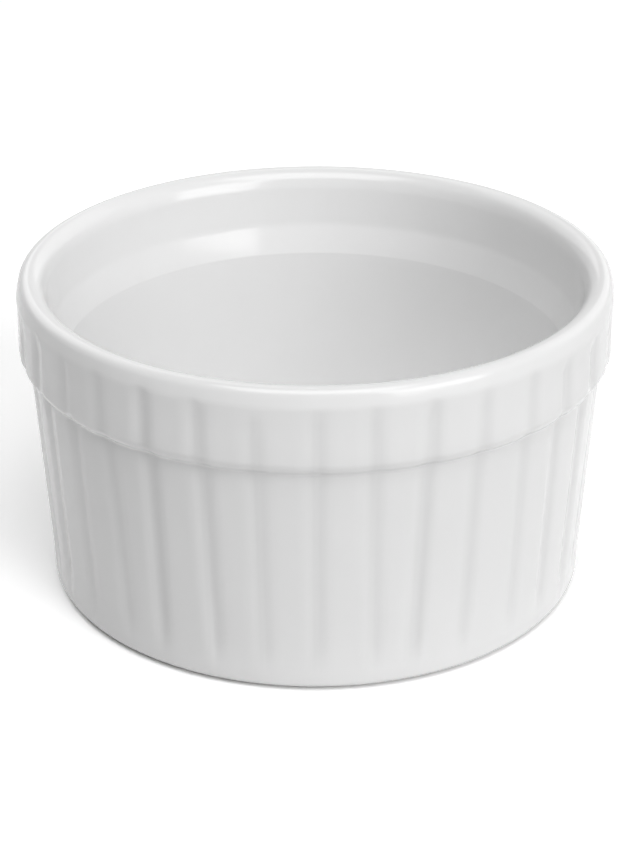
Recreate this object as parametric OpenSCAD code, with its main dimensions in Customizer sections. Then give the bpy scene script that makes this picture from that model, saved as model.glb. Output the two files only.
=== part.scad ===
// Fluted porcelain ramekin.
// A tapered, fluted cup with a thicker fluted band round its rim, a rounded lip, a sloping
// step inside and a bare foot ring. Millimetres, +Z up, origin at the middle of the standing face.

/* [Overall] */
// Widest diameter, over the lower end of the rim band's face
rim_d = 90.8; // [80:0.1:110]
// Height from the table to the top of the lip
height = 49.8; // [42:0.1:62]

/* [Wall and floor] */
// Lean of the wall away from upright, in degrees
wall_taper = 3.7; // [1:0.1:7]
// Thickness of the wall below the inside step
wall_t = 5.4; // [4.9:0.1:6.4]
// Thickness of the floor
floor_t = 4.3; // [3:0.1:7]
// Radius of the hollow corner between floor and wall
floor_corner_r = 5; // [2:0.5:9]
// Radius of the outer edge under the wall
base_edge_r = 1.2; // [0.6:0.1:1.6]

/* [Rim band] */
// Height of the band, from where it leaves the wall to the top of the lip
band_h = 13.3; // [10:0.1:16]
// How far the band stands out from the wall
band_step = 1.5; // [1.1:0.1:2.4]
// Height of the slope from the wall out to the band's face
band_slope_h = 1.4; // [0.8:0.1:2.6]
// Radius between the slope and the band's face
band_edge_r = 2.2; // [0.5:0.1:3]
// Lean of the band's face, inwards, in degrees
band_draft = 1; // [0:0.1:2]

/* [Lip] */
// Height of the leaning face at the outside of the lip
lip_drop = 2.6; // [1.8:0.1:3.6]
// Lean of that face, inwards, in degrees
lip_lean = 14; // [11:0.5:22]
// Radius between the band's face and the leaning face
lip_shoulder_r = 5; // [2:0.5:8]
// Thickness of the lip between its outer and its inner face, at the top
lip_t = 2.9; // [2.9:0.1:3.3]
// Radius of the lip's outer rounding
lip_outer_round = 1.3; // [0.6:0.1:1.3]
// Radius of the lip's inner rounding
lip_inner_round = 2.6; // [1.4:0.1:2.6]
// Drop of the throat below the top of the lip
throat_drop = 2.5; // [2.4:0.1:3.4]
// Lean of the inner face between lip and throat, in degrees
throat_lean = 20; // [18.5:0.5:26]
// Radius at the throat
throat_round = 6; // [2:0.5:7.5]

/* [Inside step] */
// Lean of the mouth below the throat away from upright, in degrees
mouth_draft = 8; // [4.5:0.1:10]
// Drop of the step's lower edge below the foot of the band
step_drop = 0.3; // [0:0.1:4]
// Height of the slope from the step's lower edge to the mouth
step_h = 4.8; // [3:0.1:6]
// Radius of the step's lower edge
step_edge_r = 1; // [0.6:0.1:3]
// Radius of the hollow above the slope
step_hollow_r = 8; // [2:0.5:15]

/* [Flutes] */
// Number of grooves round the cup
flute_n = 34; // [24:1:44]
// Width of one groove
flute_w = 2.6; // [1.8:0.1:3.4]
// Depth of one groove
flute_depth = 0.3; // [0.25:0.05:0.6]
// Length over which a groove gets shallower and runs out at its closed end
flute_runout = 3; // [1:0.1:4]
// Gap from the top of the lip down to where a band groove starts
flute_lip_gap = 3; // [2.6:0.1:4]
// Height above the table where a wall groove ends
flute_foot_gap = 4; // [2.5:0.1:7]

/* [Foot ring and glaze] */
// Height of the foot ring under the porcelain's base
foot_h = 0.8; // [0.6:0.1:2]
// Width of the standing face
foot_w = 3.4; // [2:0.1:6]
// Distance from the wall's outer face in to the side of the foot ring
foot_inset = 1.8; // [1.6:0.1:4]
// Chamfer on the two edges of the standing face
foot_chamfer = 0.25; // [0.1:0.05:0.4]
// Thickness of the glaze
glaze_t = 0.3; // [0.2:0.05:0.4]

/* [Hidden] */

// Fineness of every turned surface, and length of one straight piece of a rounded corner
$fn = 144;
corner_piece = 0.5;
// Extra length that lets one solid run safely into the next
lap = 1;
porcelain_colour = [0.90, 0.88, 0.85];
glaze_colour = [0.97, 0.97, 0.96];

// The glazed surface, in radii and heights
rim_r = rim_d / 2;
lip_z = height;
band_z = height - band_h;
base_z = foot_h - glaze_t;
floor_z = base_z + floor_t;
shoulder_r = rim_r - band_step;
band_edge_z = band_z + band_slope_h;
lip_shoulder_z = lip_z - lip_drop;
lip_shoulder_in = band_r(lip_shoulder_z);
lip_outer_r = lip_shoulder_in - lip_drop * tan(lip_lean);
lip_inner_r = lip_outer_r - lip_t;
throat_z = lip_z - throat_drop;
throat_r = lip_inner_r - throat_drop * tan(throat_lean);
step_z = band_z - step_drop;
step_top_z = step_z + step_h;
step_top_r = throat_r - (throat_z - step_top_z) * tan(mouth_draft);
foot_r = wall_r(0) - foot_inset;
foot_inner_r = foot_r - foot_w;

// One groove is part of a round bar laid along the surface
flute_bar_r = (flute_w * flute_w / 4 + flute_depth * flute_depth) / (2 * flute_depth);
flute_axis_out = flute_bar_r - flute_depth;
flute_pitch = 360 / flute_n;
// The first groove faces the front
first_flute = -90;

// Radius of the glazed outside of the wall at height z
function wall_r(z) = shoulder_r - (band_z - z) * tan(wall_taper);

// Radius of the band's glazed face at height z
function band_r(z) = rim_r - (z - band_edge_z) * tan(band_draft);

// Radius of the glazed inside of the wall at height z, one wall thickness in
function inner_r(z) = wall_r(z) - wall_t / cos(wall_taper);

function unit(v) = v / norm(v);

// Direction square to the edge d, on its right-hand side
function right_of(d) = [d[1], -d[0]];

// The outline through corners [x, y, radius], each one rounded and the whole line moved inwards
// by inset. It runs anticlockwise and is open: the first and last corners only give directions.
function rounded_line(corners, inset) = [
    for (i = [1 : len(corners) - 2])
        let (
            before = [corners[i - 1][0], corners[i - 1][1]],
            here = [corners[i][0], corners[i][1]],
            after = [corners[i + 1][0], corners[i + 1][1]],
            radius = corners[i][2],
            d_in = unit(here - before),
            d_out = unit(after - here),
            side = sign(cross(d_in, d_out)),
            bend = acos(d_in * d_out),
            centre = here + unit(d_out - d_in) * radius / cos(bend / 2),
            start = right_of(d_in),
            start_angle = atan2(start[1], start[0]),
            pieces = max(2, ceil(radius * bend * PI / 180 / corner_piece))
        )
        for (k = [0 : pieces])
            let (angle = start_angle + side * bend * k / pieces)
            centre + side * (radius - side * inset) * [cos(angle), sin(angle)]
];

// Turns an open line, closed back to the axis at both ends, into a solid
module turned(line) {
    last = len(line) - 1;
    rotate_extrude()
        polygon(concat([[0, line[0][1]]], line, [[0, line[last][1]]]));
}

// Solid inside the outer face of the wall, t below the glazed surface
module wall_form(t) {
    top_z = band_z + 2 * lap;
    turned(rounded_line([
        [0, base_z, 0],
        [wall_r(base_z), base_z, base_edge_r],
        [wall_r(top_z), top_z, lap / 2],
        [0, top_z, 0]
    ], t));
}

// Solid inside the outer face of the rim band, t below the glazed surface. Its slope runs on
// into the wall below the band, so that it also closes the tops of the wall's grooves.
module band_form(t) {
    foot_z = band_z - lap * band_slope_h / band_step;
    turned(rounded_line([
        [0, foot_z, 0],
        [shoulder_r - lap, foot_z, lap / 2],
        [rim_r, band_edge_z, band_edge_r],
        [lip_shoulder_in, lip_shoulder_z, lip_shoulder_r],
        [lip_outer_r, lip_z, lip_outer_round],
        [0, lip_z, 0]
    ], t));
}

// Space inside the cup, grown by t beyond the glazed surface
module cavity(t) {
    line = rounded_line([
        [0, floor_z, 0],
        [inner_r(floor_z), floor_z, floor_corner_r],
        [inner_r(step_z), step_z, step_edge_r],
        [step_top_r, step_top_z, step_hollow_r],
        [throat_r, throat_z, throat_round],
        [lip_inner_r, lip_z, lip_inner_round],
        [rim_r, lip_z, 0]
    ], -t);
    crest_r = line[len(line) - 1][0];
    turned(concat(line, [[crest_r, lip_z + lap]]));
}

// One bar that cuts a groove, standing on its run-out end with the surface at -flute_axis_out;
// t thicker all round for the porcelain under the glaze
module flute_bar(length, t) {
    slope = atan(flute_depth / flute_runout);
    reach = 2 * flute_bar_r + 2 * flute_runout;
    difference() {
        translate([0, 0, -lap])
            cylinder(r = flute_bar_r + t, h = length + lap);
        translate([-flute_axis_out, 0, 0])
            rotate([0, -slope, 0])
                translate([-reach - t, -reach, -reach])
                    cube([reach, 2 * reach, 2 * reach]);
    }
}

// Repeats its children once for each groove
module round_the_cup() {
    for (i = [0 : flute_n - 1])
        rotate(first_flute + i * flute_pitch)
            children();
}

// Grooves of the wall: running out above the foot, and up into the band
module wall_flutes(t) {
    run = (band_z - flute_foot_gap) / cos(wall_taper) + lap;
    round_the_cup()
        translate([wall_r(flute_foot_gap) + flute_axis_out / cos(wall_taper), 0, flute_foot_gap])
            rotate([0, wall_taper, 0])
                flute_bar(run, t);
}

// Grooves of the band: running out under the lip, open at the slope under the band
module band_flutes(t) {
    end_z = lip_z - flute_lip_gap;
    run = (end_z - band_z) / cos(band_draft) + lap;
    round_the_cup()
        translate([band_r(end_z) + flute_axis_out / cos(band_draft), 0, end_z])
            rotate([180, -band_draft, 0])
                flute_bar(run, t);
}

// The whole cup without its foot ring, t below the glazed surface
module cup(t) {
    difference() {
        union() {
            difference() {
                wall_form(t);
                wall_flutes(t);
            }
            difference() {
                band_form(t);
                band_flutes(t);
            }
        }
        cavity(t);
    }
}

// The bare ring that the cup stands on, running up into the floor
module foot_ring() {
    rotate_extrude()
        polygon([
            [foot_inner_r + foot_chamfer, 0],
            [foot_r - foot_chamfer, 0],
            [foot_r, foot_chamfer],
            [foot_r, foot_h + lap],
            [foot_inner_r, foot_h + lap],
            [foot_inner_r, foot_chamfer]
        ]);
}

// The fired porcelain: cup and foot ring in one
module porcelain_body() {
    color(porcelain_colour)
        union() {
            cup(glaze_t);
            foot_ring();
        }
}

// The glass coat over everything but the foot ring and what lies inside it
module glaze_coat() {
    color(glaze_colour)
        difference() {
            cup(0);
            cup(glaze_t);
            cylinder(r = foot_r, h = foot_h + lap);
        }
}

// The round patch of glaze inside the foot ring
module underside_glaze() {
    color(glaze_colour)
        translate([0, 0, base_z])
            cylinder(r = foot_inner_r, h = glaze_t);
}

porcelain_body();
glaze_coat();
underside_glaze();
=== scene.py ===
import math

import bpy
from mathutils import Matrix, Vector


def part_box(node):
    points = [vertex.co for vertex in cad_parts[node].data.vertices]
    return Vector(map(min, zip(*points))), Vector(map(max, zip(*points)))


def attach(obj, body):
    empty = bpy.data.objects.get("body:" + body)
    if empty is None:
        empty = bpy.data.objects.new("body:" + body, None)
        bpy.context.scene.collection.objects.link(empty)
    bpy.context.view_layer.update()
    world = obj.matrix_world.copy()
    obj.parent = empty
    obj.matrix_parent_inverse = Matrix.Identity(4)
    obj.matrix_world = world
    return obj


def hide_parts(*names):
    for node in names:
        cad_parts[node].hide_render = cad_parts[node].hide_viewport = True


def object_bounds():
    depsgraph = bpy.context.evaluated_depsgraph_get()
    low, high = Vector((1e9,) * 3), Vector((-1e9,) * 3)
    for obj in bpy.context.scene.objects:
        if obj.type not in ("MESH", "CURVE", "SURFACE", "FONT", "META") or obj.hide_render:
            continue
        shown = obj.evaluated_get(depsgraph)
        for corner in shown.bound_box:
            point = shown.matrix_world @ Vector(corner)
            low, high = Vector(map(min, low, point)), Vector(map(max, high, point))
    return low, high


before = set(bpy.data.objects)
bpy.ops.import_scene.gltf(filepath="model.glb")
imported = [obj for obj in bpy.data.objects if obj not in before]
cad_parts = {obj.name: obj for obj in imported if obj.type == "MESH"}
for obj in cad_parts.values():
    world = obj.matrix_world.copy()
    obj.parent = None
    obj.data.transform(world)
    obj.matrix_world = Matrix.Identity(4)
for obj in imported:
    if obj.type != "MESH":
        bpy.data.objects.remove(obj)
cad_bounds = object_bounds()
mm = 0.001

# ---------------------------------------------------------------- camera
# The photograph looks down into the cup from straight in front of one groove, from near by,
# so the lip is seen as a wide ellipse and the wall seems to narrow towards the foot.
photo_wide, photo_high = 628, 858
focal_px = 2236.6
cup_centre_px = (315.65, 412.0)
looks_down = math.radians(25.95)
camera_roll = math.radians(-0.17)
camera_away = 350 * mm
nearest_seen = 10 * mm
film_height_mm = 36.0

cup_centre = Vector((0, 0, (cad_bounds[0][2] + cad_bounds[1][2]) / 2))
forward = Vector((0, math.cos(looks_down), -math.sin(looks_down)))
right = Vector((1, 0, 0))
up = right.cross(forward)
metres_per_px = camera_away / focal_px
aim = (
    cup_centre
    - right * (cup_centre_px[0] - photo_wide / 2) * metres_per_px
    - up * (photo_high / 2 - cup_centre_px[1]) * metres_per_px
)
camera_data = bpy.data.cameras.new("camera")
camera_data.sensor_fit = "VERTICAL"
camera_data.sensor_height = film_height_mm
camera_data.lens = focal_px * film_height_mm / photo_high
camera_data.clip_start = nearest_seen
camera = bpy.data.objects.new("camera", camera_data)
camera.location = cup_centre - forward * camera_away
view = (aim - camera.location).normalized()
turn = view.to_track_quat("-Z", "Y").to_matrix() @ Matrix.Rotation(camera_roll, 3, "Z")
camera.rotation_euler = turn.to_euler()
bpy.context.scene.collection.objects.link(camera)
bpy.context.scene.camera = camera


# ---------------------------------------------------------------- the cup's glaze
# The glass coat that the cup is dipped in, all but its foot ring, and that melts on in the firing.
# The clay under it was shaped in a fluted mould: narrow grooves between nearly flat panels, which
# run out under the lip and above the foot.
patch_low, patch_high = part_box("underside_glaze")
base_z = patch_low[2]
clay_z = patch_high[2]
foot_inner_r = patch_high[0]
lip_z = cad_bounds[1][2]
glaze_t = clay_z - base_z

# Sizes of the glazed surface, the same as the solids have
rim_r = 45.4 * mm
wall_taper = math.radians(3.7)
wall_t = 5.4 * mm
floor_t = 4.3 * mm
floor_corner_r = 5 * mm
base_edge_r = 1.2 * mm
band_h = 13.3 * mm
band_step = 1.5 * mm
band_draft = math.radians(1.0)
band_slope_h = 1.4 * mm
band_edge_r = 2.2 * mm
lip_drop = 2.6 * mm
lip_lean = math.radians(14)
lip_shoulder_r = 5.0 * mm
lip_t = 2.9 * mm
lip_outer_round = 1.3 * mm
lip_inner_round = 2.6 * mm
throat_drop = 2.5 * mm
throat_lean = math.radians(20)
throat_round = 6.0 * mm
mouth_draft = math.radians(8)
step_drop = 0.3 * mm
step_h = 4.8 * mm
step_edge_r = 1.0 * mm
step_hollow_r = 8.0 * mm
foot_w = 3.4 * mm
# The hollow under the band, which the solids leave sharp
band_hollow_r = 1.0 * mm

foot_r = foot_inner_r + foot_w
band_z = lip_z - band_h
floor_z = base_z + floor_t
step_z = band_z - step_drop
band_edge_z = band_z + band_slope_h
lip_shoulder_z = lip_z - lip_drop
lip_shoulder_in = rim_r - (lip_shoulder_z - band_edge_z) * math.tan(band_draft)
lip_outer_r = lip_shoulder_in - lip_drop * math.tan(lip_lean)
lip_inner_r = lip_outer_r - lip_t
throat_z = lip_z - throat_drop
throat_r = lip_inner_r - throat_drop * math.tan(throat_lean)
step_top_z = step_z + step_h
step_top_r = throat_r - (throat_z - step_top_z) * math.tan(mouth_draft)


def wall_r(z):
    return rim_r - band_step - (band_z - z) * math.tan(wall_taper)


def inner_r(z):
    return wall_r(z) - wall_t / math.cos(wall_taper)


outside_corners = [
    (foot_r, base_z, 0),
    (wall_r(base_z), base_z, base_edge_r),
    (wall_r(band_z), band_z, band_hollow_r),
    (rim_r, band_edge_z, band_edge_r),
    (lip_shoulder_in, lip_shoulder_z, lip_shoulder_r),
    (lip_outer_r, lip_z, lip_outer_round),
    (0, lip_z, 0),
]
inside_corners = [
    (rim_r, lip_z, 0),
    (lip_inner_r, lip_z, lip_inner_round),
    (throat_r, throat_z, throat_round),
    (step_top_r, step_top_z, step_hollow_r),
    (inner_r(step_z), step_z, step_edge_r),
    (inner_r(floor_z), floor_z, floor_corner_r),
    (0, floor_z, 0),
]
fewest_arc_pieces = 6


def stretch(a, b, steps):
    """Points after a and up to b, evenly spaced."""
    return [Vector(a).lerp(Vector(b), n / steps) for n in range(1, steps + 1)]


def rounded_line(corners, inset, arc_step, straight_step):
    """The line through corners (r, z, radius), each one rounded, moved into the clay by inset.
    The clay lies on its left. The first and last corners only give directions."""
    points = []
    for before, here, after in zip(corners, corners[1:], corners[2:]):
        a, b, c = Vector(before[:2]), Vector(here[:2]), Vector(after[:2])
        radius = here[2]
        d_in, d_out = (b - a).normalized(), (c - b).normalized()
        side = math.copysign(1, d_in.x * d_out.y - d_in.y * d_out.x)
        bend = d_in.angle(d_out)
        centre = b + (d_out - d_in).normalized() * radius / math.cos(bend / 2)
        start = math.atan2(-d_in.x, d_in.y)
        pieces = max(fewest_arc_pieces, math.ceil(radius * bend / arc_step))
        for k in range(pieces + 1):
            angle = start + side * bend * k / pieces
            ray = Vector((math.cos(angle), math.sin(angle)))
            point = centre + side * (radius - side * inset) * ray
            if k == 0 and points:
                steps = max(1, round((point - points[-1]).length / straight_step))
                points += stretch(points[-1], point, steps)[:-1]
            points.append(point)
    return points


# The grooves, and how flat the panels between them are, change with the height on the outside.
# A groove widens where it opens at the foot of the band.
groove_count = 34
pieces_per_groove = 12
groove_depth = 0.36 * mm
groove_w = 4.2 * mm
groove_end_w = 3.4 * mm
groove_flare_w = 1.4 * mm
groove_flare_h = 1.6 * mm
groove_lip_gap = 1.4 * mm
groove_foot_gap = 1.6 * mm
groove_foot_fade = 6.5 * mm
panel_flatness = 0.85
panel_lip_gap = 2.0 * mm
panel_foot_gap = 1.2 * mm
panel_fade = 3.5 * mm


def eased(x):
    """Rises smoothly from 0 to 1 as x does."""
    x = min(1.0, max(0.0, x))
    return x * x * (3 - 2 * x)


def outside_rows(points):
    """Adds to each point (r, z) of the outside its groove depth and width, and panel flatness."""
    rows = []
    for r, z in points:
        groove = 0.0
        if z < lip_z - groove_lip_gap:
            groove = eased((z - groove_foot_gap) / groove_foot_fade)
        flat = min(
            eased((lip_z - panel_lip_gap - z) / panel_fade),
            eased((z - panel_foot_gap) / panel_fade),
        )
        width = groove_end_w + (groove_w - groove_end_w) * groove
        if z > band_z - band_hollow_r:
            width += groove_flare_w * math.exp(-max(0.0, z - band_z) / groove_flare_h)
        rows.append((r, z, groove_depth * groove, width, panel_flatness * flat))
    return rows


def plain_rows(points):
    """Rows with no grooves and no panels."""
    return [(r, z, 0.0, groove_w, 0.0) for r, z in points]


def outer_skin(inset, arc_step, straight_step):
    """The whole outline from the foot ring's side, over the lip, to the middle of the floor."""
    outside = rounded_line(outside_corners, inset, arc_step, straight_step)
    inside = rounded_line(inside_corners, inset, arc_step, straight_step)
    start = Vector((foot_r, base_z + inset))
    under = [start] + stretch(start, outside[0], steps=2)[:-1]
    middle = stretch(inside[-1], (0, floor_z - inset), steps=9)
    return outside_rows(under + outside) + plain_rows(inside + middle)


def node(tree, kind, links=None, **settings):
    """Adds one node; links gives its inputs, as values or as the sockets they come from."""
    made = tree.nodes.new(kind)
    for name, value in settings.items():
        setattr(made, name, value)
    for key, value in (links or {}).items():
        if isinstance(value, bpy.types.NodeSocket):
            tree.links.new(value, made.inputs[key])
        else:
            made.inputs[key].default_value = value
    return made


def maths(tree, operation, *values):
    """The result of one Math node; values are numbers or sockets."""
    links = dict(enumerate(values))
    return node(tree, "ShaderNodeMath", links, operation=operation).outputs[0]


def turning_tree():
    """Turns a section line into a fluted round, with its seam and its poles closed."""
    tree = bpy.data.node_groups.new("fluted_turning", "GeometryNodeTree")
    face = tree.interface
    face.new_socket("Section", in_out="INPUT", socket_type="NodeSocketGeometry")
    for name, kind in (
        ("Grooves", "NodeSocketInt"),
        ("Pieces per groove", "NodeSocketInt"),
        ("Bunching at the grooves", "NodeSocketFloat"),
        ("Groove depth", "NodeSocketFloat"),
        ("Groove depth spread", "NodeSocketFloat"),
        ("Groove wander", "NodeSocketFloat"),
        ("Groove lean", "NodeSocketFloat"),
        ("Height without lean", "NodeSocketFloat"),
        ("Groove top", "NodeSocketFloat"),
        ("Groove top spread", "NodeSocketFloat"),
        ("Groove top fade", "NodeSocketFloat"),
        ("Pooled glaze and shade width", "NodeSocketFloat"),
        ("Mould unevenness", "NodeSocketFloat"),
        ("Unevenness size", "NodeSocketFloat"),
        ("Rim radius", "NodeSocketFloat"),
        ("Seam gap", "NodeSocketFloat"),
        ("Seed", "NodeSocketInt"),
        ("Finish", "NodeSocketMaterial"),
    ):
        face.new_socket(name, in_out="INPUT", socket_type=kind)
    face.new_socket("Round", in_out="OUTPUT", socket_type="NodeSocketGeometry")
    given = tree.nodes.new("NodeGroupInput").outputs
    section = given["Section"]

    def plus(a, b):
        return maths(tree, "ADD", a, b)

    def minus(a, b):
        return maths(tree, "SUBTRACT", a, b)

    def times(a, b):
        return maths(tree, "MULTIPLY", a, b)

    def over(a, b):
        return maths(tree, "DIVIDE", a, b)

    def cosine_of(angle):
        return maths(tree, "COSINE", angle)

    def size_of(value):
        return maths(tree, "ABSOLUTE", value)

    # A sheet with a column of points for each angle and, in each column, a point for each row of
    # the section. Half a point more keeps a column's number clear of rounding.
    rows = node(tree, "GeometryNodeAttributeDomainSize", {"Geometry": section}).outputs["Point Count"]
    columns = plus(times(given["Grooves"], given["Pieces per groove"]), 1.0)
    counts = {"Vertices X": columns, "Vertices Y": rows}
    sheet = node(tree, "GeometryNodeMeshGrid", counts).outputs["Mesh"]
    index = tree.nodes.new("GeometryNodeInputIndex").outputs[0]
    column = maths(tree, "FLOOR", over(plus(index, 0.5), rows))
    row = minus(index, times(column, rows))

    def from_section(value, kind):
        """The value that the section has in this row."""
        inputs = {"Geometry": section, "Value": value, "Index": row}
        sampled = node(tree, "GeometryNodeSampleIndex", inputs, data_type=kind, domain="POINT")
        return sampled.outputs["Value"]

    def named(name):
        read = node(tree, "GeometryNodeInputNamedAttribute", {"Name": name}, data_type="FLOAT")
        return from_section(read.outputs["Attribute"], "FLOAT")

    place = from_section(tree.nodes.new("GeometryNodeInputPosition").outputs[0], "FLOAT_VECTOR")
    place = node(tree, "ShaderNodeSeparateXYZ", {0: place}).outputs
    radius, height = place["X"], place["Z"]

    # A column's place, in grooves from the one at the front, drawn together at a groove, and its angle
    even = over(column, given["Pieces per groove"])
    wave = maths(tree, "SINE", times(even, math.tau))
    bunched = minus(even, over(times(wave, given["Bunching at the grooves"]), math.tau))
    pitch = over(math.tau, given["Grooves"])
    angle = minus(times(bunched, pitch), math.pi / 2)
    cosine, sine = cosine_of(angle), maths(tree, "SINE", angle)

    # Each groove wanders a little from its place, leans, and has its own depth and its own top
    nearest = maths(tree, "ROUND", even)
    groove = maths(tree, "MODULO", nearest, given["Grooves"])

    def own(name, draw, low=-1.0, high=1.0):
        """A groove's own share, between low and high, of the input with this name."""
        limits = {"Min": low, "Max": high, "ID": groove, "Seed": plus(given["Seed"], draw)}
        chance = node(tree, "FunctionNodeRandomValue", limits, data_type="FLOAT")
        return times(chance.outputs["Value"], given[name])

    wander = own("Groove wander", draw=0.0)
    spread = own("Groove depth spread", draw=1.0)
    lean = own("Groove lean", draw=2.0)
    top = plus(own("Groove top spread", draw=3.0, high=0.0), given["Groove top"])
    below_top = node(
        tree,
        "ShaderNodeMapRange",
        {
            "Value": height,
            "From Min": minus(top, given["Groove top fade"]),
            "From Max": top,
            "To Min": 1.0,
            "To Max": 0.0,
        },
        interpolation_type="SMOOTHSTEP",
    ).outputs["Result"]
    lean_height = minus(height, given["Height without lean"])
    aside = maths(tree, "MULTIPLY_ADD", lean_height, lean, wander)
    from_groove = times(minus(bunched, nearest), pitch)
    off_groove = size_of(minus(times(from_groove, radius), aside))
    across = over(off_groove, named("groove_width"))

    def rounded_trough(widening):
        """1 in the middle of a groove, and along a cosine down to 0 at its edges."""
        part = maths(tree, "MINIMUM", over(across, widening), 0.5)
        return maths(tree, "MULTIPLY_ADD", cosine_of(times(part, math.tau)), 0.5, 0.5)

    depth = times(times(named("groove_depth"), plus(spread, 1.0)), below_top)
    cut = times(depth, rounded_trough(1.0))
    # The glaze greys in the middle of a groove: partly glaze that pooled there, partly painted shade
    # in the groove.
    pool_and_shade = times(depth, rounded_trough(given["Pooled glaze and shade width"]))

    # A flat panel is a chord between two grooves
    half_pitch = over(pitch, 2.0)
    off_middle = minus(size_of(from_groove), half_pitch)
    chord = over(cosine_of(half_pitch), cosine_of(off_middle))
    sunk = times(times(minus(1.0, chord), radius), named("panel_flat"))

    # Slow waves left by the mould and the firing
    def point_at(r, z):
        return node(
            tree, "ShaderNodeCombineXYZ", {0: times(r, cosine), 1: times(r, sine), 2: z}
        ).outputs[0]

    unevenness = node(
        tree,
        "ShaderNodeTexNoise",
        {
            "Vector": point_at(radius, height),
            "Scale": over(1.0, given["Unevenness size"]),
            "Detail": 1.0,
            "Roughness": 0.5,
        },
        noise_dimensions="3D",
    ).outputs[0]
    waves = times(minus(unevenness, 0.5), given["Mould unevenness"])
    waves = times(waves, over(radius, given["Rim radius"]))

    # The sheet is rolled up and its edges are merged, which leaves edges without a face at the poles
    moved = plus(minus(radius, plus(cut, sunk)), waves)
    shaped = node(
        tree, "GeometryNodeSetPosition", {"Geometry": sheet, "Position": point_at(moved, height)}
    ).outputs[0]
    # Stores how much the glaze greys in each groove, partly pooled glaze and partly painted shade, for
    # the glaze material.
    pooled_and_shaded = node(
        tree,
        "GeometryNodeStoreNamedAttribute",
        {"Geometry": shaped, "Name": "pooled_glaze_and_shade", "Value": over(pool_and_shade, given["Groove depth"])},
        data_type="FLOAT",
        domain="POINT",
    ).outputs[0]
    closed = node(
        tree, "GeometryNodeMergeByDistance", {"Geometry": pooled_and_shaded, "Distance": given["Seam gap"]}
    ).outputs[0]
    faces_beside = tree.nodes.new("GeometryNodeInputMeshEdgeNeighbors").outputs[0]
    clean = node(
        tree,
        "GeometryNodeDeleteGeometry",
        {"Geometry": closed, "Selection": maths(tree, "LESS_THAN", faces_beside, 0.5)},
        domain="EDGE",
        mode="ALL",
    ).outputs[0]
    smooth = node(tree, "GeometryNodeSetShadeSmooth", {"Geometry": clean}).outputs[0]
    real = node(tree, "GeometryNodeRealizeInstances", {"Geometry": smooth}).outputs[0]
    finish = node(
        tree, "GeometryNodeSetMaterial", {"Geometry": real, "Material": given["Finish"]}
    ).outputs[0]
    node(tree, "NodeGroupOutput", {"Round": finish})
    return tree


fluted_turning = turning_tree()


def turned(name, rows, finish, grooves=groove_count, pieces=pieces_per_groove):
    """One closed piece turned from its section rows, as a plain mesh."""
    section = bpy.data.meshes.new(name)
    section.from_pydata([(r, 0, z) for r, z, *_ in rows], [], [])
    for place, attribute in ((2, "groove_depth"), (3, "groove_width"), (4, "panel_flat")):
        layer = section.attributes.new(attribute, "FLOAT", "POINT")
        layer.data.foreach_set("value", [row[place] for row in rows])
    piece = bpy.data.objects.new(name, section)
    bpy.context.scene.collection.objects.link(piece)
    shaping = piece.modifiers.new("turning", "NODES")
    shaping.node_group = fluted_turning
    sizes = {
        "Grooves": grooves,
        "Pieces per groove": pieces,
        "Bunching at the grooves": 0.6,
        "Groove depth": groove_depth,
        "Groove depth spread": 0.35,
        "Groove wander": 0.32 * mm,
        "Groove lean": 0.025,
        "Height without lean": band_z,
        "Groove top": lip_z - groove_lip_gap,
        "Groove top spread": 1.8 * mm,
        "Groove top fade": 2.6 * mm,
        "Pooled glaze and shade width": 0.9,
        "Mould unevenness": 0.10 * mm,
        "Unevenness size": 14 * mm,
        "Rim radius": rim_r,
        "Seam gap": 0.002 * mm,
        "Seed": 7,
        "Finish": finish,
    }
    for socket in fluted_turning.interface.items_tree:
        if socket.in_out == "INPUT" and socket.name in sizes:
            shaping[socket.identifier] = sizes[socket.name]
    evaluated = piece.evaluated_get(bpy.context.evaluated_depsgraph_get())
    mesh = bpy.data.meshes.new_from_object(evaluated)
    piece.modifiers.clear()
    piece.data = mesh
    mesh.name = name
    bpy.data.meshes.remove(section)
    return piece


def grey(level):
    return (level, level, level, 1)


def new_material(name):
    material = bpy.data.materials.new(name)
    material.use_nodes = True
    material.node_tree.nodes.clear()
    return material, material.node_tree


def noise(tree, per_metre, detail):
    """Noise on the piece, with about that many blobs to a metre."""
    place = node(tree, "ShaderNodeTexCoord").outputs["Object"]
    inputs = {"Vector": place, "Scale": per_metre, "Detail": detail}
    return node(tree, "ShaderNodeTexNoise", inputs).outputs[0]


def mixed(tree, kind, share, first, second):
    """Two colours mixed by share."""
    inputs = {"Factor": share, "A": first, "B": second}
    mix = node(tree, "ShaderNodeMix", inputs, data_type="RGBA", blend_type=kind)
    return mix.outputs["Result"]


def ceramic(tree, colour, roughness, relief, strength, depth):
    """Ends a material in a ceramic surface with a fine relief."""
    inputs = {"Height": relief, "Strength": strength, "Distance": depth}
    normal = node(tree, "ShaderNodeBump", inputs).outputs["Normal"]
    inputs = {"Base Color": colour, "Roughness": roughness, "IOR": 1.5, "Normal": normal}
    surface = node(tree, "ShaderNodeBsdfPrincipled", inputs).outputs[0]
    node(tree, "ShaderNodeOutputMaterial", {"Surface": surface})


glaze_dull, glaze_bright = grey(0.866), grey(0.903)
# Grey that darkens the glaze in the grooves: partly pooled glaze, partly painted shade.
pooled_glaze_and_shade_tint = grey(0.930)


def glaze_material():
    """White gloss glaze: a little cloudy, finely rippled, and greyer in the grooves, partly from glaze
    that pooled there and partly as painted shade.
    """
    material, tree = new_material("white_glaze")
    clouds = noise(tree, per_metre=55.0, detail=3.0)
    white = mixed(tree, "MIX", clouds, glaze_dull, glaze_bright)
    pooled_and_shaded = node(tree, "ShaderNodeAttribute", attribute_name="pooled_glaze_and_shade").outputs["Fac"]
    white = mixed(tree, "MULTIPLY", pooled_and_shaded, white, pooled_glaze_and_shade_tint)
    ripples = noise(tree, per_metre=260.0, detail=2.0)
    ceramic(tree, white, roughness=0.14, relief=ripples, strength=0.22, depth=0.05 * mm)
    return material


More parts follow.
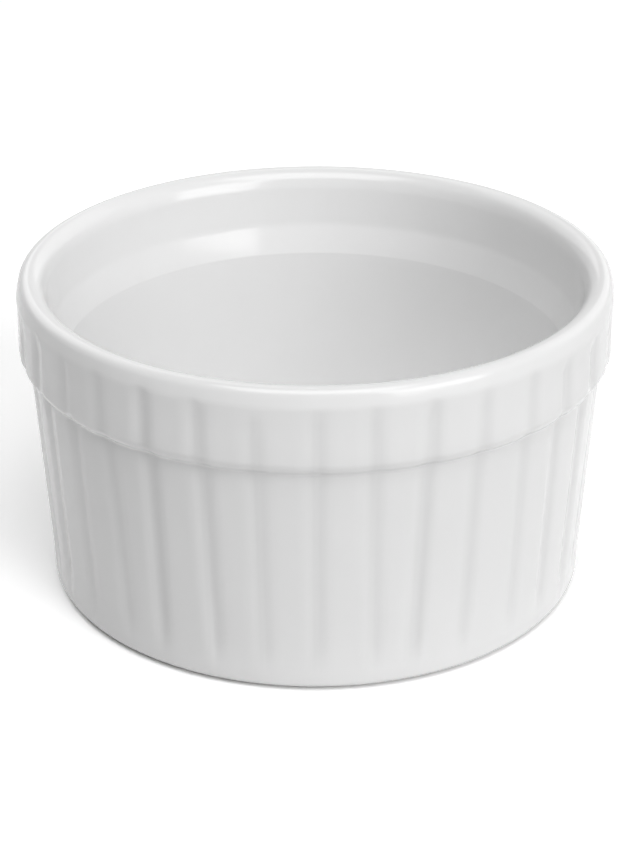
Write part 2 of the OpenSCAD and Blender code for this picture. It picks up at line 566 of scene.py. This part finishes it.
white_glaze = glaze_material()
visible = outer_skin(inset=0.0, arc_step=0.33 * mm, straight_step=1.8 * mm)
hidden = outer_skin(inset=glaze_t, arc_step=0.9 * mm, straight_step=4.5 * mm)
glaze_coat = turned("glaze_coat_skin", visible + hidden[::-1] + visible[:1], white_glaze)
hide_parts("glaze_coat")
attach(glaze_coat, "root")


# ---------------------------------------------------------------- the porcelain
# The fired clay inside the glaze. Only its foot ring shows: it was wiped bare before firing,
# so that the cup wouldn't stick to the kiln shelf, and it's matt and faintly gritty.
foot_edge_r = 0.35 * mm
clay_dark = (0.58, 0.55, 0.51, 1)
clay_light = (0.74, 0.71, 0.67, 1)


def biscuit_material():
    """Bare fired clay: warm, matt and gritty."""
    material, tree = new_material("bare_porcelain")
    grains = noise(tree, per_metre=1800.0, detail=4.0)
    clay = mixed(tree, "MIX", grains, clay_dark, clay_light)
    ceramic(tree, clay, roughness=0.85, relief=grains, strength=0.4, depth=0.05 * mm)
    return material


bare_porcelain = biscuit_material()
foot_corners = [
    (0, clay_z, 0),
    (foot_inner_r, clay_z, foot_edge_r),
    (foot_inner_r, 0, foot_edge_r),
    (foot_r, 0, foot_edge_r),
    (foot_r, lip_z, 0),
]
ring = rounded_line(foot_corners, inset=0.0, arc_step=0.15 * mm, straight_step=1.2 * mm)
middle = Vector((0, clay_z))
underside = plain_rows([middle] + stretch(middle, ring[0], steps=8)[:-1] + ring)
clay_rows = hidden + underside + hidden[:1]
porcelain = turned("porcelain_cup", clay_rows, bare_porcelain)
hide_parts("porcelain_body")
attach(porcelain, "root")


# ---------------------------------------------------------------- glaze inside the foot ring
# The underside is dipped with the rest, and the wiped foot ring leaves a round patch of glaze
# inside it, which creeps a little along the ring's inner side. The patch has no grooves, so their
# number and their pieces only say how finely it is turned.
creep = 0.25 * mm
creep_edge_r = 0.05 * mm
patch_fineness = {"grooves": 8, "pieces": 24}
patch_corners = [
    (0, base_z, 0),
    (foot_inner_r - creep, base_z, creep),
    (foot_inner_r, base_z - creep, creep_edge_r),
    (foot_inner_r, lip_z, 0),
]
patch = rounded_line(patch_corners, inset=0.0, arc_step=0.1 * mm, straight_step=1.5 * mm)
middle = Vector((0, base_z))
corner = Vector((foot_inner_r, clay_z))
patch_line = [middle] + stretch(middle, patch[0], steps=10)[:-1] + patch
patch_line += stretch(patch[-1], corner, steps=2) + stretch(corner, (0, clay_z), steps=4)
patch_rows = plain_rows(patch_line)
underside_glaze = turned("underside_glaze_patch", patch_rows, white_glaze, **patch_fineness)
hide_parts("underside_glaze")
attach(underside_glaze, "root")


# ---------------------------------------------------------------- floor, backdrop and light
# A plain white table that runs out of sight. A soft lamp stands at the front right, a larger one
# hangs high in front, and two weak ones lighten the cup from behind. The table and the surround
# are seen brighter than they light the cup.
table_half = 3.0
table_light = 0.73
table_seen = 1.38
surround_light = 0.03
surround_seen = 1.0


def by_ray(tree, light, seen):
    """The first value where a ray brings light to the cup, the second where the eye sees it."""
    rays = node(tree, "ShaderNodeLightPath").outputs
    direct = maths(tree, "MAXIMUM", rays["Is Camera Ray"], rays["Is Glossy Ray"])
    direct = maths(tree, "MAXIMUM", direct, rays["Is Transmission Ray"])
    return maths(tree, "MULTIPLY_ADD", direct, seen - light, light)


table_mesh = bpy.data.meshes.new("table")
sides = ((-1, -1), (1, -1), (1, 1), (-1, 1))
table_corners = [(x * table_half, y * table_half, 0) for x, y in sides]
table_mesh.from_pydata(table_corners, [], [(0, 1, 2, 3)])
table = bpy.data.objects.new("table", table_mesh)
bpy.context.scene.collection.objects.link(table)
table_white, tree = new_material("table_white")
shade = by_ray(tree, table_light, table_seen)
colour = node(tree, "ShaderNodeCombineColor", {0: shade, 1: shade, 2: shade}).outputs[0]
diffuse = node(tree, "ShaderNodeBsdfDiffuse", {"Color": colour}).outputs[0]
node(tree, "ShaderNodeOutputMaterial", {"Surface": diffuse})
table_mesh.materials.append(table_white)

surround = bpy.data.worlds.new("surround")
surround.use_nodes = True
bpy.context.scene.world = surround
tree = surround.node_tree
tree.nodes.clear()
strength = by_ray(tree, surround_light, surround_seen)
light = node(tree, "ShaderNodeBackground", {"Color": grey(1), "Strength": strength}).outputs[0]
node(tree, "ShaderNodeOutputWorld", {"Surface": light})


def lamp(name, azimuth, elevation, away, wide, high, glow):
    """A soft lamp that faces the cup; azimuth 0 is in front, positive to the right. Glow is the
    brightness of its face."""
    data = bpy.data.lights.new(name, "AREA")
    data.shape = "RECTANGLE"
    data.size, data.size_y = wide, high
    data.energy = glow * math.pi * wide * high
    made = bpy.data.objects.new(name, data)
    a, e = math.radians(azimuth), math.radians(elevation)
    direction = Vector((math.sin(a) * math.cos(e), -math.cos(a) * math.cos(e), math.sin(e)))
    made.location = cup_centre + direction * away
    made.rotation_euler = direction.to_track_quat("Z", "Y").to_euler()
    bpy.context.scene.collection.objects.link(made)


lamp("key_lamp", azimuth=45, elevation=23, away=3.0, wide=1.95, high=1.95, glow=3.45)
lamp("top_lamp", azimuth=0, elevation=68, away=3.0, wide=2.6, high=2.4, glow=2.95)
lamp("back_right_lamp", azimuth=140, elevation=27, away=4.0, wide=4.4, high=2.8, glow=0.60)
lamp("back_left_lamp", azimuth=-150, elevation=38, away=4.0, wide=3.6, high=2.8, glow=0.95)

bpy.context.scene.view_settings.view_transform = "Standard"
